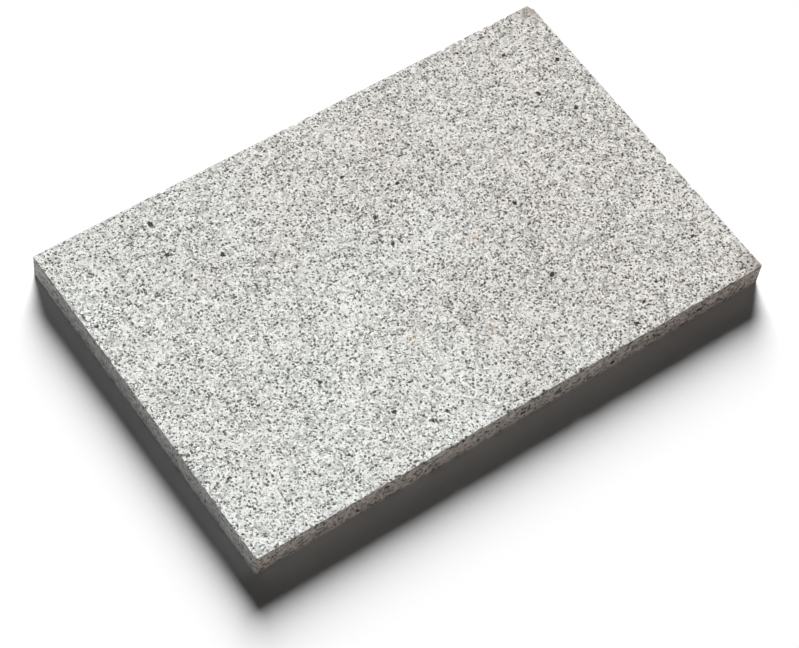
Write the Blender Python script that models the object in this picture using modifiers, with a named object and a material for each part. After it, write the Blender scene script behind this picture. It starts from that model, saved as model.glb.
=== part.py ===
"""A sawn granite slab: one solid piece of stone with eased corners and arrises.

The frame has its origin at the middle of the underside, +X along the length,
+Y along the width and +Z up through the working face. Sizes are in metres.
"""

import math

import bpy

# Driving dimensions of the slab
LENGTH = 0.620
WIDTH = 0.400
THICKNESS = 0.030

# The small rounding that the mason leaves where two sawn faces meet
CORNER_RADIUS = 0.003
ARRIS_RADIUS = 0.0012
CORNER_SEGMENTS = 4
ARRIS_SEGMENTS = 3

# A rounding never takes more than this share of the face beside it
LARGEST_ROUNDING_SHARE = 0.45

# Between the angle of two neighbouring corner facets and a square edge
SQUARE_EDGE_ANGLE = math.radians(60.0)

# The granite's overall look: light grey and matt
GRANITE_COLOUR = (0.57, 0.565, 0.545, 1.0)
GRANITE_ROUGHNESS = 0.75


def clear_scene():
    """Take every object out of the scene, so that only the slab is in it."""
    for item in list(bpy.data.objects):
        bpy.data.objects.remove(item, do_unlink=True)


def make_collection(name):
    """Add a collection for the object's parts."""
    collection = bpy.data.collections.new(name)
    bpy.context.scene.collection.children.link(collection)
    return collection


def make_material(name, colour, roughness):
    """A Principled material with the part's colour and roughness; stone isn't metallic."""
    material = bpy.data.materials.new(name)
    material.use_nodes = True
    shader = material.node_tree.nodes["Principled BSDF"]
    shader.inputs["Base Color"].default_value = colour
    shader.inputs["Roughness"].default_value = roughness
    shader.inputs["Metallic"].default_value = 0.0
    material.diffuse_color = colour
    return material


def add_block(name, collection, length, width, thickness):
    """A rectangular block that stands on the origin's plane, with its scale applied."""
    bpy.ops.mesh.primitive_cube_add(size=1.0, location=(0.0, 0.0, thickness / 2))
    block = bpy.context.active_object
    block.name = name
    block.data.name = name
    block.scale = (length, width, thickness)
    bpy.ops.object.transform_apply(location=False, rotation=False, scale=True)
    for owner in list(block.users_collection):
        owner.objects.unlink(block)
    collection.objects.link(block)
    return block


def mark_upright_edges(block):
    """Give the four upright corner edges a bevel weight, so that they round by themselves."""
    mesh = block.data
    weights = mesh.attributes.new("bevel_weight_edge", "FLOAT", "EDGE")
    for edge in mesh.edges:
        low, high = (mesh.vertices[i].co.z for i in edge.vertices)
        upright = not math.isclose(low, high)
        weights.data[edge.index].value = 1.0 if upright else 0.0


def round_corners(block, radius, segments):
    """Round the marked upright edges."""
    bevel = block.modifiers.new("corner rounding", "BEVEL")
    bevel.limit_method = "WEIGHT"
    bevel.width = radius
    bevel.segments = segments


def ease_arrises(block, radius, segments):
    """Round every square edge that is left, round the working face and the underside."""
    bevel = block.modifiers.new("arris rounding", "BEVEL")
    bevel.limit_method = "ANGLE"
    bevel.angle_limit = SQUARE_EDGE_ANGLE
    bevel.width = radius
    bevel.segments = segments


def make_granite_slab(collection):
    """The whole stone: a sawn block, its corners rounded first and its arrises after."""
    slab = add_block("granite_slab", collection, LENGTH, WIDTH, THICKNESS)
    mark_upright_edges(slab)
    corner = min(CORNER_RADIUS, LARGEST_ROUNDING_SHARE * min(LENGTH, WIDTH))
    arris = min(ARRIS_RADIUS, LARGEST_ROUNDING_SHARE * THICKNESS)
    round_corners(slab, corner, CORNER_SEGMENTS)
    ease_arrises(slab, arris, ARRIS_SEGMENTS)
    slab.data.materials.append(
        make_material("granite", GRANITE_COLOUR, GRANITE_ROUGHNESS)
    )
    return slab


def main():
    clear_scene()
    parts = make_collection("granite slab")
    make_granite_slab(parts)


main()
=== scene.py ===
"""The looks of a granite slab: a flamed upper face, sawn edges and chipped arrises, on a pale floor.

Run as a script, it builds the finished stone around the frame, and sets up the floor, the lights and the
camera. Everything is in metres, in the frame's own axes: +X along the length, +Z up out of the working face.
"""

import math

import bpy
import numpy as np
from bpy.props import (
    FloatProperty,
    FloatVectorProperty,
    IntProperty,
    PointerProperty,
)
from bpy.types import Operator, Panel, PropertyGroup
from mathutils import Euler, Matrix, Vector


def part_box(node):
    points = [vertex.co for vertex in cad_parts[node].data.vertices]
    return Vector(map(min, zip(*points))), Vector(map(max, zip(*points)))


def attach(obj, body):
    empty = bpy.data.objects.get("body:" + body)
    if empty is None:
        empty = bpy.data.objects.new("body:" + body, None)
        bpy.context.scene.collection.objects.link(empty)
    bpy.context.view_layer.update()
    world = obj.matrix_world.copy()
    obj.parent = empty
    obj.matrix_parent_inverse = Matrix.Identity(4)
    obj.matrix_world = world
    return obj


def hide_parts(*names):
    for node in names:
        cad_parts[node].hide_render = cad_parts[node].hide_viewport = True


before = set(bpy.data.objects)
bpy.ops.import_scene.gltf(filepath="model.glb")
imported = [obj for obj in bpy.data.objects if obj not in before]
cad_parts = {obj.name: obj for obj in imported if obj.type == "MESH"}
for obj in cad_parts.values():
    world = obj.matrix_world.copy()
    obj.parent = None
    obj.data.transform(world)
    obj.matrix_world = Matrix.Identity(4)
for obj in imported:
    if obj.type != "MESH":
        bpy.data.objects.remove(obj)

bl_info = {
    "name": "Granite Slab Looks",
    "version": (1, 0, 0),
    "blender": (4, 5, 0),
    "location": "View3D > Sidebar > Granite",
    "description": "Builds a flamed granite slab with sawn, chipped edges and its studio",
    "category": "Object",
}

SLAB_NODE = "granite_slab"
STONE_NAME = "granite_stone"

SLAB_LOW, SLAB_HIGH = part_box(SLAB_NODE)
SLAB_SIZE = SLAB_HIGH - SLAB_LOW
SLAB_CENTRE = (SLAB_LOW + SLAB_HIGH) / 2


# ---------------------------------------------------------------- settings


def length(name, description, default):
    """A size in metres that a user can change."""
    return FloatProperty(
        name=name, description=description, default=default, min=0.0, unit="LENGTH"
    )


def share(name, description, default):
    """A share from 0 to 1 that a user can change."""
    return FloatProperty(
        name=name, description=description, default=default, min=0.0, max=1.0, subtype="FACTOR"
    )


def colour(name, description, default):
    """A linear colour that a user can change."""
    return FloatVectorProperty(
        name=name, description=description, default=default, size=3, min=0.0, max=1.0, subtype="COLOR"
    )


class StoneSettings(PropertyGroup):
    """The slab's finish: how it is worked, how worn it is and what minerals it holds."""

    corner_radius: length("Corner Radius", "Rounding of the four upright corners", 0.003)
    arris_radius: length("Arris Radius", "Rounding of the edges of the two large faces", 0.0009)
    cell: length("Mesh Cell", "Width of a mesh cell along the edges", 0.00124)
    face_relief: length("Face Relief", "Depth of the flamed face's hollows", 0.00045)
    edge_relief: length("Edge Relief", "Depth of the sawn edges' waves", 0.0003)
    small_chip: length("Small Chips", "Largest radius of the small chips along the arrises", 0.0027)
    large_chip: length("Large Chips", "Largest radius of the few large chips", 0.0050)
    grain: length("Grain Size", "Mean width of a feldspar or quartz grain", 0.0028)
    quartz_share: share("Quartz Share", "Share of the light grains that are grey quartz", 0.28)
    speck: length("Speck Size", "Spacing of the small dark specks", 0.0023)
    speck_share: share("Speck Share", "How many of the small dark specks there are", 0.64)
    pepper: length("Pepper Size", "Spacing of the near-black dots", 0.0034)
    pepper_share: share("Pepper Share", "Share of the spots that hold a near-black dot", 0.63)
    crowding: share("Crowding", "How unevenly the dark specks are spread", 0.13)
    feldspar: colour("Feldspar", "Colour of the white grains", (0.732, 0.723, 0.697))
    quartz: colour("Quartz", "Colour of the grey grains", (0.463, 0.461, 0.441))
    biotite: colour("Biotite", "Colour of the dark flecks", (0.019, 0.018, 0.010))
    rust: colour("Rust", "Colour of the iron stains", (0.50, 0.34, 0.19))
    seed: IntProperty(name="Seed", description="Changes the chips and hollows", default=4, min=0)


class StudioSettings(PropertyGroup):
    """The floor and the lights."""

    floor: colour("Floor", "Colour of the floor", (0.90, 0.90, 0.90))
    key_strength: FloatProperty(
        name="Key Light", description="Strength of the light low behind the slab", default=8.1, min=0.0
    )
    fill_strength: FloatProperty(
        name="Fill Light", description="Strength of the low light in front", default=1.28, min=0.0
    )
    surround: share("Surround", "Light that the pale room gives", 0.01)


# ---------------------------------------------------------------- node helpers

FLOAT = "NodeSocketFloat"
WHOLE = "NodeSocketInt"
VECTOR = "NodeSocketVector"
COLOUR = "NodeSocketColor"
GEOMETRY = "NodeSocketGeometry"
MATERIAL = "NodeSocketMaterial"
WHITE = (1.0, 1.0, 1.0, 1.0)


def add(tree, kind, sockets, **settings):
    """Add a node. Each of its sockets is set to a value, or linked from another node's output."""
    node = tree.nodes.new(kind)
    for name, value in settings.items():
        setattr(node, name, value)
    for name, value in sockets.items():
        if isinstance(value, bpy.types.NodeSocket):
            tree.links.new(value, node.inputs[name])
        else:
            node.inputs[name].default_value = value
    return node


def calc(tree, operation, *values):
    """A Math node's result."""
    return add(tree, "ShaderNodeMath", dict(enumerate(values)), operation=operation).outputs[0]


def vector_calc(tree, operation, *values):
    """A Vector Math node, whose result may be a vector or a value."""
    return add(tree, "ShaderNodeVectorMath", dict(enumerate(values)), operation=operation)


def ramp(tree, value, low, high, to_low=0.0, to_high=1.0):
    """A value's smooth step from low to high."""
    sockets = {"Value": value, "From Min": low, "From Max": high, "To Min": to_low, "To Max": to_high}
    return add(tree, "ShaderNodeMapRange", sockets, interpolation_type="SMOOTHSTEP").outputs["Result"]


def mix(tree, factor, first, second, blend="MIX"):
    """Two colours mixed by a factor."""
    # Sockets 6, 7 and 2 are a Mix node's two colours and its resulting colour
    sockets = {0: factor, 6: first, 7: second}
    return add(tree, "ShaderNodeMix", sockets, data_type="RGBA", blend_type=blend).outputs[2]


def noise(tree, vector, size, detail=2.0, roughness=0.5):
    """A Noise Texture whose waves are about size metres wide."""
    sockets = {"Vector": vector, "Scale": per_metre(tree, size), "Detail": detail, "Roughness": roughness}
    return add(tree, "ShaderNodeTexNoise", sockets, noise_dimensions="3D")


def cells(tree, vector, size):
    """A Voronoi Texture whose cells are about size metres wide."""
    sockets = {"Vector": vector, "Scale": per_metre(tree, size), "Randomness": 1.0}
    return add(tree, "ShaderNodeTexVoronoi", sockets, feature="F1", voronoi_dimensions="3D")


def per_metre(tree, size):
    """The scale of a texture from the size of its pattern."""
    if isinstance(size, bpy.types.NodeSocket):
        return calc(tree, "DIVIDE", 1.0, size)
    return 1.0 / size


def new_group(name, kind, inputs, outputs):
    """A new node group with named sockets. What comes back is the group, its inputs and its output node."""
    tree = bpy.data.node_groups.new(name, kind)
    for in_out, sockets in (("INPUT", inputs), ("OUTPUT", outputs)):
        for label, socket_type in sockets.items():
            tree.interface.new_socket(name=label, in_out=in_out, socket_type=socket_type)
    return tree, tree.nodes.new("NodeGroupInput").outputs, tree.nodes.new("NodeGroupOutput")


def use_group(tree, group, sockets):
    """Place a shader node group in a material, with its own values."""
    return add(tree, "ShaderNodeGroup", sockets, node_tree=group).outputs


# ---------------------------------------------------------------- the stone's shape

# Where each next cell size starts on the two large faces, counted in the smallest cells from the border
WORKING_FACE_STARTS = (0, 6)
UNDERSIDE_STARTS = (0, 2, 6, 14)
# Rows of cells round an arris and down an edge; an edge's rows are narrow near both arrises
ARRIS_ROWS = 3
EDGE_ROWS = 11
EDGE_CROWDING = 0.75
# A span that is too small to matter, which keeps a division from failing
TINY = 1e-12


def cell_outline(i, j, step, columns, rows, start):
    """A square cell's corners, with the middle of each side that a row of smaller cells meets."""
    half = step // 2
    ring = [(i, j)]
    if half and j == start:
        ring.append((i + half, j))
    ring.append((i + step, j))
    if half and i + step == columns - start:
        ring.append((i + step, j + half))
    ring.append((i + step, j + step))
    if half and j + step == rows - start:
        ring.append((i + half, j + step))
    ring.append((i, j + step))
    if half and i == start:
        ring.append((i, j + half))
    return ring


def graded_rectangle(columns, rows, starts):
    """The cells of a rectangle, each size twice as wide as the one outside it."""
    for level, start in enumerate(starts):
        step = 2**level
        stop = starts[level + 1] if level + 1 < len(starts) else None
        for i in range(start, columns - start, step):
            for j in range(start, rows - start, step):
                inside = stop is not None and stop <= i < columns - stop and stop <= j < rows - stop
                if not inside:
                    yield cell_outline(i, j, step, columns, rows, start)


def border(columns, rows):
    """The rectangle's border points, anticlockwise from its first corner."""
    return (
        [(i, 0) for i in range(columns)]
        + [(columns, j) for j in range(rows)]
        + [(i, rows) for i in range(columns, 0, -1)]
        + [(0, j) for j in range(rows, 0, -1)]
    )


def edge_profile(thickness, radius):
    """(inset, height) down the slab's edge, from the working face round both arrises to the underside."""
    quarter = [math.pi / 2 * k / ARRIS_ROWS for k in range(ARRIS_ROWS + 1)]
    top = [(radius * (1 - math.sin(a)), thickness - radius * (1 - math.cos(a))) for a in quarter]
    bottom = [(inset, thickness - height) for inset, height in reversed(top)]
    straight = thickness - 2 * radius
    middle = []
    for k in range(1, EDGE_ROWS):
        even = k / EDGE_ROWS
        crowded = (1 - math.cos(math.pi * even)) / 2
        depth = even + (crowded - even) * EDGE_CROWDING
        middle.append((0.0, thickness - radius - straight * depth))
    return top + middle + bottom


def round_upright_corners(points, radius):
    """Turn the square outline near each upright corner into an arc."""
    flat = points[:, :2] - np.array(SLAB_CENTRE[:2])
    core = np.array(SLAB_SIZE[:2]) / 2 - radius
    beyond = flat - np.clip(flat, -core, core)
    reach = np.abs(beyond).max(axis=1)
    span = np.maximum(np.linalg.norm(beyond, axis=1), TINY)
    points[:, :2] += beyond * (reach / span - 1)[:, None]
    return points


class Block:
    """The slab before it is weathered: a rounded block with small cells along its edges."""

    def __init__(self, settings):
        largest = 2 ** (len(UNDERSIDE_STARTS) - 1)
        spare = 2 * UNDERSIDE_STARTS[-1]
        self.columns, self.rows = (
            spare + largest * round((side / settings.cell - spare) / largest)
            for side in (SLAB_SIZE.x, SLAB_SIZE.y)
        )
        self.profile = edge_profile(SLAB_SIZE.z, settings.arris_radius)
        self.points, self.index, self.faces, self.sheet, self.is_face = [], {}, [], [], []
        self.add_large_face(0, WORKING_FACE_STARTS, False)
        self.add_edges()
        self.add_large_face(len(self.profile) - 1, UNDERSIDE_STARTS, True)
        self.points = round_upright_corners(np.array(self.points), settings.corner_radius)

    def point(self, i, j, level):
        """The number of the vertex at a border or face point, on one level of the edge's profile."""
        key = (i, j, level)
        if key not in self.index:
            inset, height = self.profile[level]
            x = SLAB_LOW.x + inset + i * (SLAB_SIZE.x - 2 * inset) / self.columns
            y = SLAB_LOW.y + inset + j * (SLAB_SIZE.y - 2 * inset) / self.rows
            self.index[key] = len(self.points)
            self.points.append((x, y, SLAB_LOW.z + height))
        return self.index[key]

    def add_large_face(self, level, starts, turned):
        """The working face or the underside."""
        for ring in graded_rectangle(self.columns, self.rows, starts):
            if turned:
                ring = ring[::-1]
            self.faces.append([self.point(i, j, level) for i, j in ring])
            self.sheet.append([large_face_place(i / self.columns, j / self.rows, turned) for i, j in ring])
            self.is_face.append(not turned)

    def add_edges(self):
        """The band of cells that runs round the slab between its two large faces."""
        ring = border(self.columns, self.rows)
        corners = (0, self.columns, self.columns + self.rows, 2 * self.columns + self.rows, len(ring))
        down = np.cumsum([0.0] + [math.dist(a, b) for a, b in zip(self.profile, self.profile[1:])])
        for side, (first, last) in enumerate(zip(corners, corners[1:])):
            for p in range(first, last):
                ends = (ring[p], ring[(p + 1) % len(ring)])
                along = ((p - first) / (last - first), (p + 1 - first) / (last - first))
                for level in range(len(self.profile) - 1):
                    self.add_edge_cell(side, ends, along, level, down)

    def add_edge_cell(self, side, ends, along, level, down):
        """One cell of an edge, its corners anticlockwise from outside."""
        corners = ((0, 1), (1, 1), (1, 0), (0, 0))
        self.faces.append([self.point(*ends[e], level + below) for e, below in corners])
        self.sheet.append([edge_place(side, along[e], down[level + below]) for e, below in corners])
        self.is_face.append(False)


# The layout of the baked sheet, in metres: the working face, the two short edges beside it, the two
# long edges above it, and the underside at a smaller scale in what is left
SHEET = 0.70
GAP = 0.004
UNDERSIDE_SCALE = 0.53


def large_face_place(u, v, is_underside):
    """Where a point of a large face lies on the sheet."""
    scale = UNDERSIDE_SCALE if is_underside else 1.0
    bottom = SHEET - GAP - SLAB_SIZE.y * scale if is_underside else GAP
    turned = 1 - u if is_underside else u
    return (GAP + turned * SLAB_SIZE.x * scale) / SHEET, (bottom + v * SLAB_SIZE.y * scale) / SHEET


def edge_place(side, along, down):
    """Where a point of an edge lies on the sheet. Sides 0 and 2 are the long ones."""
    pair = side // 2
    band = SLAB_SIZE.z + 2 * GAP
    if side % 2 == 0:
        x = GAP + along * SLAB_SIZE.x
        y = 2 * GAP + SLAB_SIZE.y + pair * band + SLAB_SIZE.z + GAP / 2 - down
    else:
        x = 2 * GAP + SLAB_SIZE.x + pair * band + down
        y = GAP + along * SLAB_SIZE.y
    return x / SHEET, y / SHEET


def block_mesh(settings):
    """The rounded block as a mesh, with its sheet as a UV map and its working face marked."""
    block = Block(settings)
    mesh = bpy.data.meshes.new(STONE_NAME)
    mesh.from_pydata(block.points.tolist(), [], block.faces)
    sheet = mesh.uv_layers.new(name="OFBake")
    places = np.array([place for ring in block.sheet for place in ring], np.float32)
    sheet.uv.foreach_set("vector", places.ravel())
    top = mesh.attributes.new("working_face", "BOOLEAN", "FACE")
    top.data.foreach_set("value", block.is_face)
    mesh.update()
    return mesh


# ---------------------------------------------------------------- weathering by Geometry Nodes

# How far up a normal points where an edge ends, and where a large face starts
EDGE_UP = 0.3
FACE_UP = 0.95
# The hollows that the flame left and the waves that the saw left, wide and narrow: width, detail and share
FLAME_HOLLOWS = ((0.030, 1.0, 0.4), (0.0075, 2.0, 0.6))
SAW_WAVES = ((0.022, 1.0, 0.6), (0.004, 2.0, 0.4))
# The noise at a hollow's rim and at its floor
HOLLOW_RIM = 0.70
HOLLOW_FLOOR = 0.25
# How far each seed moves the stone through the noise
SEED_STEP = 1.37

# How far under the surface the core lies that chips are cut towards
CORE_DEPTH = 0.006
# Each run of chips: the input that holds its largest radius, its spacing, and the share of spots left whole
CHIP_RUNS = (("Small Chip", 0.0048, 0.25), ("Large Chip", 0.013, 0.6))
# The smallest radius of a run, as a share of its largest
SMALLEST_CHIP = 0.35
# How far inside the second face of its arris a chip's middle may lie, in its own radii
CHIP_REACH = 0.55
# Shading breaks where two cells meet at more than this angle, in degrees
SHARP_ANGLE = 50.0


def scaled(tree, vector, scale):
    """A vector times a value."""
    return add(tree, "ShaderNodeVectorMath", {0: vector, "Scale": scale}, operation="SCALE").outputs[0]


def face_masks(tree, normal):
    """How far a point belongs to the working face, and to an edge."""
    up = add(tree, "ShaderNodeSeparateXYZ", {0: normal}).outputs["Z"]
    on_face = ramp(tree, up, EDGE_UP, FACE_UP)
    on_edge = ramp(tree, calc(tree, "ABSOLUTE", up), FACE_UP, EDGE_UP)
    return on_face, on_edge


def relief(tree, position, waves, mask, depth):
    """Smooth hollows of two widths together, down to a depth, where the mask lets them."""
    parts = []
    for width, detail, part in waves:
        level = ramp(tree, noise(tree, position, width, detail).outputs[0], HOLLOW_RIM, HOLLOW_FLOOR)
        parts.append(calc(tree, "MULTIPLY", level, part))
    return calc(tree, "MULTIPLY", calc(tree, "MULTIPLY", calc(tree, "ADD", *parts), mask), depth)


def towards_core(tree, position, half, centre):
    """The way from a point on the surface to the block's core: slanting near an arris, square elsewhere."""
    core = vector_calc(tree, "SUBTRACT", half, (CORE_DEPTH, CORE_DEPTH, CORE_DEPTH)).outputs[0]
    low = vector_calc(tree, "SUBTRACT", centre, core).outputs[0]
    high = vector_calc(tree, "ADD", centre, core).outputs[0]
    not_below = vector_calc(tree, "MAXIMUM", position, low).outputs[0]
    nearest = vector_calc(tree, "MINIMUM", not_below, high).outputs[0]
    way = vector_calc(tree, "SUBTRACT", nearest, position).outputs[0]
    return vector_calc(tree, "NORMALIZE", way).outputs[0]


def chips(tree, geometry, position, inwards, spacing, radius, half, centre, left_whole):
    """Scoop chips out of the arrises: what lies inside a chip's ball moves to the ball's surface.

    The balls sit at the middles of Voronoi cells that fall just outside two faces of the block.
    """
    texture = cells(tree, position, spacing)
    ball = texture.outputs["Position"]
    luck = add(tree, "ShaderNodeSeparateXYZ", {0: texture.outputs["Color"]}).outputs["X"]
    size = calc(tree, "MULTIPLY", radius, ramp(tree, luck, left_whole, 1.0, SMALLEST_CHIP, 1.0))
    from_centre = vector_calc(tree, "SUBTRACT", ball, centre).outputs[0]
    from_centre = vector_calc(tree, "ABSOLUTE", from_centre).outputs[0]
    beyond = vector_calc(tree, "SUBTRACT", from_centre, half).outputs[0]
    x, y, z = add(tree, "ShaderNodeSeparateXYZ", {0: beyond}).outputs
    furthest = calc(tree, "MAXIMUM", calc(tree, "MAXIMUM", x, y), z)
    least = calc(tree, "MINIMUM", calc(tree, "MINIMUM", x, y), z)
    total = calc(tree, "ADD", calc(tree, "ADD", x, y), z)
    second = calc(tree, "SUBTRACT", calc(tree, "SUBTRACT", total, furthest), least)
    outside = calc(tree, "GREATER_THAN", furthest, 0.0)
    at_arris = calc(tree, "GREATER_THAN", second, calc(tree, "MULTIPLY", size, -CHIP_REACH))
    chosen = calc(tree, "GREATER_THAN", luck, left_whole)
    keep = calc(tree, "MULTIPLY", calc(tree, "MULTIPLY", outside, at_arris), chosen)
    # Along the way inwards, the far side of the ball lies where |position + t * inwards - ball| = size
    away = vector_calc(tree, "SUBTRACT", position, ball).outputs[0]
    level = vector_calc(tree, "DOT_PRODUCT", away, inwards).outputs["Value"]
    square = vector_calc(tree, "DOT_PRODUCT", away, away).outputs["Value"]
    short_by = calc(tree, "SUBTRACT", calc(tree, "MULTIPLY", level, level), square)
    under = calc(tree, "MULTIPLY_ADD", size, size, short_by)
    is_inside = calc(tree, "LESS_THAN", square, calc(tree, "MULTIPLY", size, size))
    far_side = calc(tree, "SUBTRACT", calc(tree, "SQRT", calc(tree, "MAXIMUM", under, 0.0)), level)
    push = calc(tree, "MULTIPLY", calc(tree, "MULTIPLY", far_side, is_inside), keep)
    sockets = {"Geometry": geometry, "Offset": scaled(tree, inwards, push)}
    return add(tree, "GeometryNodeSetPosition", sockets).outputs[0]


def weathering_tree():
    """A Geometry Nodes tree that flames the face, waves the sawn edges and chips the arrises."""
    tree, given, result = new_group(
        "Stone Weathering",
        "GeometryNodeTree",
        {
            "Geometry": GEOMETRY,
            "Face Relief": FLOAT,
            "Edge Relief": FLOAT,
            "Small Chip": FLOAT,
            "Large Chip": FLOAT,
            "Size": VECTOR,
            "Centre": VECTOR,
            "Seed": WHOLE,
            "Face Finish": MATERIAL,
            "Edge Finish": MATERIAL,
        },
        {"Geometry": GEOMETRY},
    )
    place = tree.nodes.new("GeometryNodeInputPosition").outputs[0]
    normal = tree.nodes.new("GeometryNodeInputNormal").outputs[0]
    half = scaled(tree, given["Size"], 0.5)
    step = calc(tree, "MULTIPLY", given["Seed"], SEED_STEP)
    shift = add(tree, "ShaderNodeCombineXYZ", {"X": step, "Y": step, "Z": step}).outputs[0]
    moved = vector_calc(tree, "ADD", place, shift).outputs[0]
    on_face, on_edge = face_masks(tree, normal)
    face_depth = relief(tree, moved, FLAME_HOLLOWS, on_face, given["Face Relief"])
    edge_depth = relief(tree, moved, SAW_WAVES, on_edge, given["Edge Relief"])
    depth = calc(tree, "MULTIPLY", calc(tree, "ADD", face_depth, edge_depth), -1.0)
    sockets = {"Geometry": given["Geometry"], "Offset": scaled(tree, normal, depth)}
    stone = add(tree, "GeometryNodeSetPosition", sockets).outputs[0]
    inwards = towards_core(tree, place, half, given["Centre"])
    for label, spacing, left_whole in CHIP_RUNS:
        radius = given[label]
        stone = chips(tree, stone, place, inwards, spacing, radius, half, given["Centre"], left_whole)
    is_face = add(tree, "GeometryNodeInputNamedAttribute", {"Name": "working_face"}, data_type="BOOLEAN")
    stone = add(tree, "GeometryNodeRealizeInstances", {0: stone}).outputs[0]
    sockets = {"Geometry": stone, "Material": given["Edge Finish"]}
    stone = add(tree, "GeometryNodeSetMaterial", sockets).outputs[0]
    sockets = {"Geometry": stone, "Selection": is_face.outputs[0], "Material": given["Face Finish"]}
    stone = add(tree, "GeometryNodeSetMaterial", sockets).outputs[0]
    tree.links.new(stone, result.inputs[0])
    return tree


def set_inputs(modifier, values):
    """Set a Geometry Nodes modifier's inputs, by the identifiers behind their names."""
    for item in modifier.node_group.interface.items_tree:
        if item.in_out == "INPUT" and item.name in values:
            modifier[item.identifier] = values[item.name]


def weather(stone, settings, face_finish, edge_finish):
    """Run the weathering tree on the stone and keep its result as a plain mesh."""
    modifier = stone.modifiers.new("weathering", "NODES")
    modifier.node_group = weathering_tree()
    set_inputs(
        modifier,
        {
            "Face Relief": settings.face_relief,
            "Edge Relief": settings.edge_relief,
            "Small Chip": settings.small_chip,
            "Large Chip": settings.large_chip,
            "Size": tuple(SLAB_SIZE),
            "Centre": tuple(SLAB_CENTRE),
            "Seed": settings.seed,
            "Face Finish": face_finish,
            "Edge Finish": edge_finish,
        },
    )
    graph = bpy.context.evaluated_depsgraph_get()
    mesh = bpy.data.meshes.new_from_object(
        stone.evaluated_get(graph), preserve_all_data_layers=True, depsgraph=graph
    )
    stone.modifiers.remove(modifier)
    stone.data = mesh
    mesh.name = STONE_NAME
    mesh.shade_smooth()
    mesh.set_sharp_from_angle(angle=math.radians(SHARP_ANGLE))


# ---------------------------------------------------------------- the stone's minerals

# Widths and spacings are in metres. A radius and its span are shares of their pattern's spacing.

# How far the outlines of the minerals are bent, and how wide the bends are
BEND = 0.0034
BEND_WIDTH = 0.0025
# Quartz gathers in clouds, which change its share
CLOUD_WIDTH = 0.020
CLOUD_CHANGE = 0.8
# The brightness of the darkest grain, and the span up to the brightest
TONE_LOW = 0.88
TONE_SPAN = 0.24
# The same for the mottling inside the grains
MOTTLING_WIDTH = 0.0022
MOTTLING_LOW = 0.65
MOTTLING_SPAN = 0.7
COOL_GRAIN = (0.986, 1.002, 1.0, 1.0)
WARM_GRAIN = (1.014, 0.998, 0.994, 1.0)
# The dark minerals crowd in some spots and leave others clear, at two scales
NEAR_CROWD_WIDTH = 0.012
WIDE_CROWD_WIDTH = 0.085
WIDE_CROWD_SHARE = 0.5
CROWD_MEAN = 0.75
# A speck is where the noise rises over a level, which falls as the share of specks grows
SPECK_LEVEL = 0.8
SPECK_LEVEL_FALL = 0.4
SPECK_RIM = 0.045
# Some patches of specks are fainter than others
FAINT_WIDTH = 0.0055
FAINT_START, FAINT_END = 0.34, 0.60
FAINTEST = 0.40
# The near-black dots, which the crowding changes this many times more than the specks
DOT_CROWDING = 5.0
DOT_RADIUS = 0.20
DOT_SPAN = 0.28
DOT_RIM_START, DOT_RIM_END = -0.03, 0.07
# The few large clots, with ragged rims
CLOT_SPACING = 0.022
CLOT_CHANCE = 0.40
CLOT_RADIUS = 0.072
CLOT_SPAN = 0.065
CLOT_RIM = 0.012
RAG_WIDTH = 0.0045
RAG_SPAN = 0.24
# Specks and dots are thin and let some light through; the clots are the darkest
THIN_DARK = 0.91
# The roughness of feldspar, and what quartz and biotite change it by
FELDSPAR_ROUGHNESS = 0.90
QUARTZ_ROUGHNESS = -0.14
BIOTITE_ROUGHNESS = -0.18
# What grains, mottling and biotite add to the height behind the bump
GRAIN_HEIGHT = 0.5
MOTTLING_HEIGHT = 0.35
BIOTITE_HEIGHT = -0.5


def centred(tree, vector):
    """A noise's colour as a vector about zero."""
    return vector_calc(tree, "SUBTRACT", vector, (0.5, 0.5, 0.5)).outputs[0]


def light_minerals(group, given, place, bent):
    """The grains of feldspar and quartz: their colour, a mask for quartz, their tone and their mottling."""
    grains = cells(group, bent, given["Grain Size"])
    kind, tone, tint = add(group, "ShaderNodeSeparateColor", {0: grains.outputs["Color"]}).outputs
    cloud = noise(group, place, CLOUD_WIDTH, detail=3.0, roughness=0.55).outputs[0]
    change = calc(group, "MULTIPLY_ADD", cloud, CLOUD_CHANGE, -CLOUD_CHANGE / 2)
    is_quartz = calc(group, "LESS_THAN", kind, calc(group, "ADD", given["Quartz Share"], change))
    light = mix(group, is_quartz, given["Feldspar"], given["Quartz"])
    mottling = noise(group, place, MOTTLING_WIDTH, detail=2.0, roughness=0.7).outputs[0]
    patches = calc(group, "MULTIPLY_ADD", mottling, MOTTLING_SPAN, MOTTLING_LOW)
    shade = calc(group, "MULTIPLY", calc(group, "MULTIPLY_ADD", tone, TONE_SPAN, TONE_LOW), patches)
    shade = add(group, "ShaderNodeCombineColor", {0: shade, 1: shade, 2: shade}).outputs[0]
    light = mix(group, 1.0, light, shade, "MULTIPLY")
    light = mix(group, 1.0, light, mix(group, tint, COOL_GRAIN, WARM_GRAIN), "MULTIPLY")
    return light, is_quartz, tone, mottling


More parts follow.
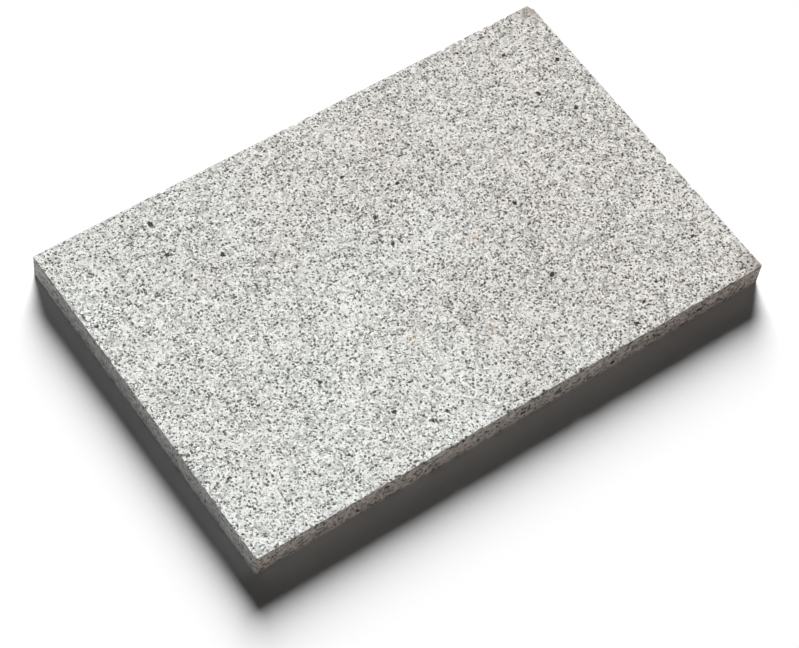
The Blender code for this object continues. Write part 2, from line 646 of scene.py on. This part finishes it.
def dark_minerals(group, given, place, bent):
    """A mask for the biotite: small specks, near-black dots and a few large clots."""
    near_crowd = noise(group, place, NEAR_CROWD_WIDTH, detail=2.0, roughness=0.6).outputs[0]
    wide_crowd = noise(group, place, WIDE_CROWD_WIDTH, detail=2.0, roughness=0.5).outputs[0]
    crowd = calc(group, "MULTIPLY_ADD", wide_crowd, WIDE_CROWD_SHARE, near_crowd)
    crowd = calc(group, "MULTIPLY", calc(group, "SUBTRACT", crowd, CROWD_MEAN), given["Crowding"])

    waves = noise(group, place, given["Speck Size"], detail=3.0, roughness=0.6).outputs[0]
    level = calc(group, "MULTIPLY_ADD", given["Speck Share"], -SPECK_LEVEL_FALL, SPECK_LEVEL)
    speck = calc(group, "SUBTRACT", calc(group, "ADD", waves, crowd), level)
    speck = ramp(group, speck, 0.0, SPECK_RIM)
    strength = noise(group, place, FAINT_WIDTH, detail=1.0, roughness=0.5).outputs[0]
    strength = ramp(group, strength, FAINT_START, FAINT_END, FAINTEST, 1.0)
    speck = calc(group, "MULTIPLY", speck, strength)

    dots = cells(group, bent, given["Pepper Size"])
    chance, reach, _ = add(group, "ShaderNodeSeparateColor", {0: dots.outputs["Color"]}).outputs
    limit = calc(group, "MULTIPLY_ADD", crowd, DOT_CROWDING, given["Pepper Share"])
    radius = calc(group, "MULTIPLY_ADD", reach, DOT_SPAN, DOT_RADIUS)
    dot = calc(group, "SUBTRACT", radius, dots.outputs["Distance"])
    dot = ramp(group, dot, DOT_RIM_START, DOT_RIM_END)
    dot = calc(group, "MULTIPLY", dot, calc(group, "LESS_THAN", chance, limit))

    clots = cells(group, bent, CLOT_SPACING)
    chance, reach, _ = add(group, "ShaderNodeSeparateColor", {0: clots.outputs["Color"]}).outputs
    radius = calc(group, "MULTIPLY_ADD", reach, CLOT_SPAN, CLOT_RADIUS)
    rag = noise(group, place, RAG_WIDTH, detail=2.0, roughness=0.6).outputs[0]
    radius = calc(group, "ADD", radius, calc(group, "MULTIPLY_ADD", rag, RAG_SPAN, -RAG_SPAN / 2))
    clot = ramp(group, calc(group, "SUBTRACT", radius, clots.outputs["Distance"]), -CLOT_RIM, CLOT_RIM)
    clot = calc(group, "MULTIPLY", clot, calc(group, "LESS_THAN", chance, CLOT_CHANCE))

    thin = calc(group, "MULTIPLY", calc(group, "MAXIMUM", speck, dot), THIN_DARK)
    return calc(group, "MAXIMUM", thin, clot)


def minerals_group():
    """Interlocking grains of white feldspar and grey quartz, with dark specks, dots and clots of biotite."""
    group, given, result = new_group(
        "Granite Minerals",
        "ShaderNodeTree",
        {
            "Vector": VECTOR,
            "Grain Size": FLOAT,
            "Quartz Share": FLOAT,
            "Speck Size": FLOAT,
            "Speck Share": FLOAT,
            "Pepper Size": FLOAT,
            "Pepper Share": FLOAT,
            "Crowding": FLOAT,
            "Feldspar": COLOUR,
            "Quartz": COLOUR,
            "Biotite": COLOUR,
        },
        {"Colour": COLOUR, "Roughness": FLOAT, "Height": FLOAT},
    )
    place = given["Vector"]
    bend = centred(group, noise(group, place, BEND_WIDTH, detail=2.0, roughness=0.6).outputs["Color"])
    bent = vector_calc(group, "MULTIPLY_ADD", bend, (BEND, BEND, BEND), place).outputs[0]
    light, is_quartz, tone, mottling = light_minerals(group, given, place, bent)
    dark = dark_minerals(group, given, place, bent)
    look = mix(group, dark, light, given["Biotite"])
    roughness = calc(group, "MULTIPLY_ADD", is_quartz, QUARTZ_ROUGHNESS, FELDSPAR_ROUGHNESS)
    roughness = calc(group, "MULTIPLY_ADD", dark, BIOTITE_ROUGHNESS, roughness)
    height = calc(group, "MULTIPLY", mottling, MOTTLING_HEIGHT)
    height = calc(group, "MULTIPLY_ADD", tone, GRAIN_HEIGHT, height)
    height = calc(group, "MULTIPLY_ADD", dark, BIOTITE_HEIGHT, height)
    group.links.new(look, result.inputs["Colour"])
    group.links.new(roughness, result.inputs["Roughness"])
    group.links.new(height, result.inputs["Height"])
    return group


# How far a stain's outline is bent, and how wide the bends are
STAIN_BEND = 0.016
STAIN_BEND_WIDTH = 0.006
STAIN_CHANCE = 0.6
STAIN_RADIUS = 0.02
STAIN_SPAN = 0.10
STAIN_RIM_START, STAIN_RIM_END = -0.06, 0.08
# A stain is patchy, because rust creeps along some grains and not others
STAIN_PATCH_WIDTH = 0.0025
STAIN_PATCH_START, STAIN_PATCH_END = 0.35, 0.65


def rust_group():
    """Small faint stains where iron in the stone has rusted."""
    group, given, result = new_group(
        "Rust Stains",
        "ShaderNodeTree",
        {"Vector": VECTOR, "Spacing": FLOAT, "Amount": FLOAT},
        {"Mask": FLOAT},
    )
    place = given["Vector"]
    bend = centred(group, noise(group, place, STAIN_BEND_WIDTH, detail=3.0, roughness=0.7).outputs["Color"])
    bent = vector_calc(group, "MULTIPLY_ADD", bend, (STAIN_BEND, STAIN_BEND, STAIN_BEND), place).outputs[0]
    spots = cells(group, bent, given["Spacing"])
    chance, reach, _ = add(group, "ShaderNodeSeparateColor", {0: spots.outputs["Color"]}).outputs
    radius = calc(group, "MULTIPLY_ADD", reach, STAIN_SPAN, STAIN_RADIUS)
    spot = calc(group, "SUBTRACT", radius, spots.outputs["Distance"])
    spot = ramp(group, spot, STAIN_RIM_START, STAIN_RIM_END)
    spot = calc(group, "MULTIPLY", spot, calc(group, "LESS_THAN", chance, STAIN_CHANCE))
    patchy = noise(group, place, STAIN_PATCH_WIDTH, detail=2.0, roughness=0.6).outputs[0]
    patchy = ramp(group, patchy, STAIN_PATCH_START, STAIN_PATCH_END)
    mask = calc(group, "MULTIPLY", calc(group, "MULTIPLY", spot, patchy), given["Amount"])
    group.links.new(mask, result.inputs["Mask"])
    return group


# ---------------------------------------------------------------- the stone's two finishes

# Rough stone hardly shines
SPECULAR_LEVEL = 0.12

# The stains on the working face
STAIN_SPACING = 0.075
STAIN_AMOUNT = 0.8
STAIN_STRENGTH = 0.80
# Painted light and shade: the face drifts from cooler and paler at its left end to greyer and browner at its
# right end, as the light falls across it
DRIFT_WAY = (0.9, 0.4, 0.0)
DRIFT_START, DRIFT_END = 0.0, 0.7
DRIFT_WANDER = 0.8
DRIFT_WANDER_WIDTH = 0.12
LEFT_PAINTED_LIGHT = (1.055, 1.083, 1.088, 1.0)
RIGHT_PAINTED_SHADE = (0.962, 0.958, 0.950, 1.0)
RIGHT_PAINTED_WARMTH = (0.011, 0.001, 0.0, 1.0)
# Pale dust, and how much of it the left end has
DUST = (0.62, 0.64, 0.625, 1.0)
LEFT_DUST = 0.05
# The right end's two corners are soiled by a tint, which starts and is whole at these distances from them
FACE_SOIL = (0.66, 0.62, 0.60, 1.0)
FACE_SOIL_START, FACE_SOIL_END = 0.050, 0.005
GRIT_WIDTH = 0.0016
GRIT_HEIGHT = 0.8
FACE_BUMP = 0.00035

# The saw cut the edges' grains lengthwise. Coordinates that shrink along an axis make them look longer.
EDGE_SQUEEZE = (0.80, 0.80, 0.95)
# How far along Y a normal points where a long edge's own finish starts, and where it is whole
LONG_EDGE_START, LONG_EDGE_END = 0.3, 0.8
# The film of slurry: its share, and what the front edge, the back edge and the patches add to it. The back
# edge's extra film is partly painted shade, which darkens the edge that faces the key light.
FILM = 0.38
FRONT_FILM = -0.34
BACK_FILM_AND_SHADE = 0.24
PATCH_FILM = 0.16
PATCH_WIDTH = 0.014
PATCH_START, PATCH_END = 0.3, 0.7
DARK_SLURRY = (0.07, 0.07, 0.07, 1.0)
PALE_SLURRY = (0.44, 0.44, 0.44, 1.0)
# The saw's streaks, which run along an edge
STREAK_SQUEEZE = (0.12, 0.12, 1.0)
STREAK_WIDTH = 0.0024
STREAK_START, STREAK_END = 0.25, 0.75
STREAK_HEIGHT = 0.8
# Painted shade: the minerals of every edge are darkened, standing for the shade that the edges lie in. The
# front edge's tint is darker and browner still, as painted warm shade.
EDGE_PAINTED_SHADE = (0.72, 0.725, 0.735, 1.0)
FRONT_PAINTED_WARM_SHADE = (0.69, 0.623, 0.590, 1.0)
# The front edge gets browner from this place along X to its right end
BROWNER_START = 0.05
BROWNER = (0.85, 0.80, 0.79, 1.0)
# The upright corners are soiled. A normal's X times Y, without its sign, is 0 on a flat edge and 0.5 in the
# middle of a corner. The soiling starts at the first value and is whole at the second.
CORNER_SOIL = (0.74, 0.68, 0.64, 1.0)
CORNER_START, CORNER_END = 0.1, 0.4
EDGE_GRAIN_HEIGHT = 0.5
EDGE_ROUGHNESS = 0.65
FILM_ROUGHNESS = 0.15
EDGE_BUMP = 0.0002


def tinted(tree, amount, look, tint):
    """A colour times a tint, where the amount says so."""
    return mix(tree, 1.0, look, mix(tree, amount, WHITE, tint), "MULTIPLY")


def new_stone(name, mineral_nodes, settings, squeeze=(1.0, 1.0, 1.0)):
    """A material with the stone's minerals in it, and its coordinates.

    Squeeze is how much the minerals' coordinates shrink on each axis.
    """
    material = bpy.data.materials.new(name)
    material.use_nodes = True
    tree = material.node_tree
    place = tree.nodes.new("ShaderNodeTexCoord").outputs["Object"]
    minerals = use_group(
        tree,
        mineral_nodes,
        {
            "Vector": vector_calc(tree, "MULTIPLY", place, squeeze).outputs[0],
            "Grain Size": settings.grain,
            "Quartz Share": settings.quartz_share,
            "Speck Size": settings.speck,
            "Speck Share": settings.speck_share,
            "Pepper Size": settings.pepper,
            "Pepper Share": settings.pepper_share,
            "Crowding": settings.crowding,
            "Feldspar": (*settings.feldspar, 1.0),
            "Quartz": (*settings.quartz, 1.0),
            "Biotite": (*settings.biotite, 1.0),
        },
    )
    return material, place, minerals


def finish_stone(material, look, roughness, height, depth):
    """Give the material's shader its colour, its roughness and a bump of a depth in metres."""
    tree = material.node_tree
    shader = tree.nodes["Principled BSDF"]
    bump = add(tree, "ShaderNodeBump", {"Strength": 1.0, "Distance": depth, "Height": height})
    tree.links.new(look, shader.inputs["Base Color"])
    tree.links.new(roughness, shader.inputs["Roughness"])
    tree.links.new(bump.outputs[0], shader.inputs["Normal"])
    shader.inputs["Specular IOR Level"].default_value = SPECULAR_LEVEL


def flamed_granite(mineral_nodes, settings):
    """The working face: clean bright minerals, burst open by the flame."""
    material, place, minerals = new_stone("flamed_granite", mineral_nodes, settings)
    tree = material.node_tree
    sockets = {"Vector": place, "Spacing": STAIN_SPACING, "Amount": STAIN_AMOUNT}
    stain = use_group(tree, rust_group(), sockets)["Mask"]
    rusted = mix(tree, STAIN_STRENGTH, minerals["Colour"], (*settings.rust, 1.0))
    look = mix(tree, stain, minerals["Colour"], rusted)

    # Painted light and shade across the face: paler and cooler towards the left end, greyer and browner
    # towards the right end
    along = vector_calc(tree, "DOT_PRODUCT", place, DRIFT_WAY).outputs["Value"]
    wander = noise(tree, place, DRIFT_WANDER_WIDTH).outputs[0]
    drift = calc(tree, "MULTIPLY_ADD", wander, DRIFT_WANDER, along)
    drift = ramp(tree, drift, DRIFT_START, DRIFT_END)
    look = mix(tree, 1.0, look, mix(tree, drift, LEFT_PAINTED_LIGHT, RIGHT_PAINTED_SHADE), "MULTIPLY")
    look = mix(tree, drift, look, RIGHT_PAINTED_WARMTH, "ADD")
    dust = calc(tree, "MULTIPLY_ADD", drift, -LEFT_DUST, LEFT_DUST)
    look = mix(tree, dust, look, DUST)

    # Handling has soiled the two corners of the right end
    x, y, _ = add(tree, "ShaderNodeSeparateXYZ", {0: place}).outputs
    to_corner = calc(tree, "ADD", x, calc(tree, "ABSOLUTE", y))
    corner = SLAB_HIGH.x + SLAB_HIGH.y
    soiled = ramp(tree, to_corner, corner - FACE_SOIL_START, corner - FACE_SOIL_END)
    look = tinted(tree, soiled, look, FACE_SOIL)

    grit = noise(tree, place, GRIT_WIDTH, detail=3.0, roughness=0.7).outputs[0]
    height = calc(tree, "MULTIPLY_ADD", grit, GRIT_HEIGHT, minerals["Height"])
    finish_stone(material, look, minerals["Roughness"], height, FACE_BUMP)
    return material


def sawn_granite(mineral_nodes, settings):
    """The edges and the underside: the same minerals under a grey film of saw slurry.

    The front edge has lost most of its film, and is darker and browner as painted warm shade. The back edge
    has the most film, partly as painted shade where it faces the key light.
    """
    material, place, minerals = new_stone("sawn_granite", mineral_nodes, settings, EDGE_SQUEEZE)
    tree = material.node_tree
    normal = tree.nodes.new("ShaderNodeNewGeometry").outputs["Normal"]
    along, across, _ = add(tree, "ShaderNodeSeparateXYZ", {0: normal}).outputs
    on_front = ramp(tree, across, -LONG_EDGE_START, -LONG_EDGE_END)
    on_back = ramp(tree, across, LONG_EDGE_START, LONG_EDGE_END)

    streaked = vector_calc(tree, "MULTIPLY", place, STREAK_SQUEEZE).outputs[0]
    streaks = noise(tree, streaked, STREAK_WIDTH, detail=3.0, roughness=0.6).outputs[0]
    streaks = ramp(tree, streaks, STREAK_START, STREAK_END)
    patches = noise(tree, place, PATCH_WIDTH, detail=3.0).outputs[0]
    patches = ramp(tree, patches, PATCH_START, PATCH_END)
    film = calc(tree, "MULTIPLY_ADD", on_front, FRONT_FILM, FILM)
    # The back edge gets more film: partly slurry, partly painted shade where it faces the key light
    film = calc(tree, "MULTIPLY_ADD", on_back, BACK_FILM_AND_SHADE, film)
    film = calc(tree, "MULTIPLY_ADD", patches, PATCH_FILM, film)
    look = mix(tree, film, minerals["Colour"], mix(tree, streaks, DARK_SLURRY, PALE_SLURRY))

    # Painted shade on every edge, darker and browner on the front edge
    look = mix(tree, 1.0, look, mix(tree, on_front, EDGE_PAINTED_SHADE, FRONT_PAINTED_WARM_SHADE), "MULTIPLY")
    x = add(tree, "ShaderNodeSeparateXYZ", {0: place}).outputs["X"]
    to_right = calc(tree, "MULTIPLY", ramp(tree, x, BROWNER_START, SLAB_HIGH.x), on_front)
    look = tinted(tree, to_right, look, BROWNER)
    # Handling has soiled the upright corners
    at_corner = calc(tree, "ABSOLUTE", calc(tree, "MULTIPLY", along, across))
    at_corner = ramp(tree, at_corner, CORNER_START, CORNER_END)
    look = tinted(tree, at_corner, look, CORNER_SOIL)

    grain = calc(tree, "MULTIPLY", minerals["Height"], EDGE_GRAIN_HEIGHT)
    height = calc(tree, "MULTIPLY_ADD", streaks, STREAK_HEIGHT, grain)
    roughness = calc(tree, "MULTIPLY_ADD", film, FILM_ROUGHNESS, EDGE_ROUGHNESS)
    finish_stone(material, look, roughness, height, EDGE_BUMP)
    return material


# ---------------------------------------------------------------- the studio

FLOOR_RADIUS = 40.0
FLOOR_SIDES = 96
FLOOR_ROUGHNESS = 0.9
FLOOR_SPECULAR = 0.2
# The floor has faint clouds, which darken it by this factor at most
FLOOR_CLOUD_WIDTH = 0.4
FLOOR_CLOUD_SHADE = 0.985
# Each sun's azimuth, elevation and spread, in degrees
KEY_SUN = (148.0, 25.0, 28.0)
FILL_SUN = (-48.0, 3.0, 5.0)
SUN_DISTANCE = 3.0
# How bright the room looks to a camera
ROOM_LOOK = 1.0


def aim(thing, place, target, roll=0.0):
    """Put a light or a camera at a place and point it at a target, then roll it about its own axis."""
    turn = (Vector(target) - place).to_track_quat("-Z", "Y")
    thing.rotation_mode = "QUATERNION"
    thing.location = place
    thing.rotation_quaternion = turn @ Euler((0.0, 0.0, math.radians(roll))).to_quaternion()


def around(target, azimuth, elevation, distance):
    """A place at a distance from a target. Azimuth 0 is in front of it, towards -Y, and 90 is towards +X."""
    turn = math.radians(azimuth)
    rise = math.radians(elevation)
    way = Vector((math.sin(turn) * math.cos(rise), -math.cos(turn) * math.cos(rise), math.sin(rise)))
    return Vector(target) + way * distance


def floor_material(settings):
    """A pale matt floor with faint clouds."""
    material = bpy.data.materials.new("studio_floor")
    material.use_nodes = True
    tree = material.node_tree
    shader = tree.nodes["Principled BSDF"]
    place = tree.nodes.new("ShaderNodeTexCoord").outputs["Object"]
    clouds = noise(tree, place, FLOOR_CLOUD_WIDTH, detail=3.0).outputs[0]
    darkest = (*(FLOOR_CLOUD_SHADE * part for part in settings.floor), 1.0)
    look = mix(tree, clouds, darkest, (*settings.floor, 1.0))
    tree.links.new(look, shader.inputs["Base Color"])
    shader.inputs["Roughness"].default_value = FLOOR_ROUGHNESS
    shader.inputs["Specular IOR Level"].default_value = FLOOR_SPECULAR
    return material


def add_floor(settings):
    """A wide pale floor at the foot of the slab."""
    turns = np.linspace(0, math.tau, FLOOR_SIDES, endpoint=False)
    ring = [(math.cos(a) * FLOOR_RADIUS, math.sin(a) * FLOOR_RADIUS, SLAB_LOW.z) for a in turns]
    mesh = bpy.data.meshes.new("studio_floor")
    mesh.from_pydata(ring, [], [list(range(FLOOR_SIDES))])
    mesh.materials.append(floor_material(settings))
    floor = bpy.data.objects.new("studio_floor", mesh)
    bpy.context.scene.collection.objects.link(floor)


def add_sun(name, sun, strength):
    """An even soft light from one side of the sky. Spread is how wide its disc looks."""
    azimuth, elevation, spread = sun
    data = bpy.data.lights.new(name, "SUN")
    data.angle = math.radians(spread)
    data.energy = strength
    light = bpy.data.objects.new(name, data)
    bpy.context.scene.collection.objects.link(light)
    aim(light, around(SLAB_CENTRE, azimuth, elevation, SUN_DISTANCE), SLAB_CENTRE)


def add_lights(settings):
    """A large light low behind the slab, so that its shadow falls forward, and a weak one in front."""
    add_sun("key_light", KEY_SUN, settings.key_strength)
    add_sun("fill_light", FILL_SUN, settings.fill_strength)


def add_world(settings):
    """The pale room around the floor, which looks brighter than the light that it gives."""
    world = bpy.data.worlds.new("studio_room")
    world.use_nodes = True
    tree = world.node_tree
    seen = tree.nodes.new("ShaderNodeLightPath").outputs["Is Camera Ray"]
    strength = ramp(tree, seen, 0.0, 1.0, settings.surround, ROOM_LOOK)
    background = tree.nodes["Background"]
    background.inputs["Color"].default_value = WHITE
    tree.links.new(strength, background.inputs["Strength"])
    bpy.context.scene.world = world


# The camera's place round a point on the working face, in degrees and metres; its lens is in millimetres
CAMERA_AZIMUTH = -44.834
CAMERA_ELEVATION = 57.231
CAMERA_ROLL = 10.688
CAMERA_DISTANCE = 2.5234
CAMERA_AIM = (-0.018, -0.0879)
CAMERA_LENS = 115.006
CAMERA_SENSOR = 36.0
CAMERA_SHIFT = (-0.0507, 0.0100)
CAMERA_NEAR, CAMERA_FAR = 0.05, 100.0


def add_camera():
    """A long lens that looks down on the slab's front corner."""
    data = bpy.data.cameras.new("studio_camera")
    data.sensor_width = CAMERA_SENSOR
    data.lens = CAMERA_LENS
    data.shift_x, data.shift_y = CAMERA_SHIFT
    data.clip_start, data.clip_end = CAMERA_NEAR, CAMERA_FAR
    camera = bpy.data.objects.new("studio_camera", data)
    bpy.context.scene.collection.objects.link(camera)
    target = (*CAMERA_AIM, SLAB_HIGH.z)
    place = around(target, CAMERA_AZIMUTH, CAMERA_ELEVATION, CAMERA_DISTANCE)
    aim(camera, place, target, CAMERA_ROLL)
    bpy.context.scene.camera = camera


# ---------------------------------------------------------------- the add-on


class GRANITE_OT_stone(Operator):
    """Build the weathered stone in place of the plain slab"""

    bl_idname = "granite.stone"
    bl_label = "Build Stone"

    def execute(self, context):
        settings = context.scene.granite_stone
        if bpy.data.objects.get(STONE_NAME):
            raise RuntimeError("the stone is already built")
        minerals = minerals_group()
        face = flamed_granite(minerals, settings)
        edge = sawn_granite(minerals, settings)
        stone = bpy.data.objects.new(STONE_NAME, block_mesh(settings))
        context.scene.collection.objects.link(stone)
        weather(stone, settings, face, edge)
        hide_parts(SLAB_NODE)
        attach(stone, "root")
        return {"FINISHED"}


class GRANITE_OT_studio(Operator):
    """Set up the floor, the lights, the room and the camera"""

    bl_idname = "granite.studio"
    bl_label = "Build Studio"

    def execute(self, context):
        settings = context.scene.granite_studio
        add_floor(settings)
        add_lights(settings)
        add_world(settings)
        add_camera()
        context.scene.view_settings.view_transform = "Standard"
        return {"FINISHED"}


class GRANITE_PT_panel(Panel):
    """The slab's sidebar panel"""

    bl_label = "Granite Slab"
    bl_idname = "GRANITE_PT_panel"
    bl_space_type = "VIEW_3D"
    bl_region_type = "UI"
    bl_category = "Granite"

    def draw(self, context):
        for settings, operator in (
            (context.scene.granite_stone, GRANITE_OT_stone),
            (context.scene.granite_studio, GRANITE_OT_studio),
        ):
            box = self.layout.box()
            for name in settings.__annotations__:
                box.prop(settings, name)
            box.operator(operator.bl_idname)


CLASSES = (StoneSettings, StudioSettings, GRANITE_OT_stone, GRANITE_OT_studio, GRANITE_PT_panel)


def register():
    for item in CLASSES:
        bpy.utils.register_class(item)
    bpy.types.Scene.granite_stone = PointerProperty(type=StoneSettings)
    bpy.types.Scene.granite_studio = PointerProperty(type=StudioSettings)


def unregister():
    del bpy.types.Scene.granite_studio
    del bpy.types.Scene.granite_stone
    for item in reversed(CLASSES):
        bpy.utils.unregister_class(item)


def main():
    """Build everything."""
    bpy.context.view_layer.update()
    register()
    bpy.ops.granite.stone()
    bpy.ops.granite.studio()


if __name__ == "__main__":
    main()
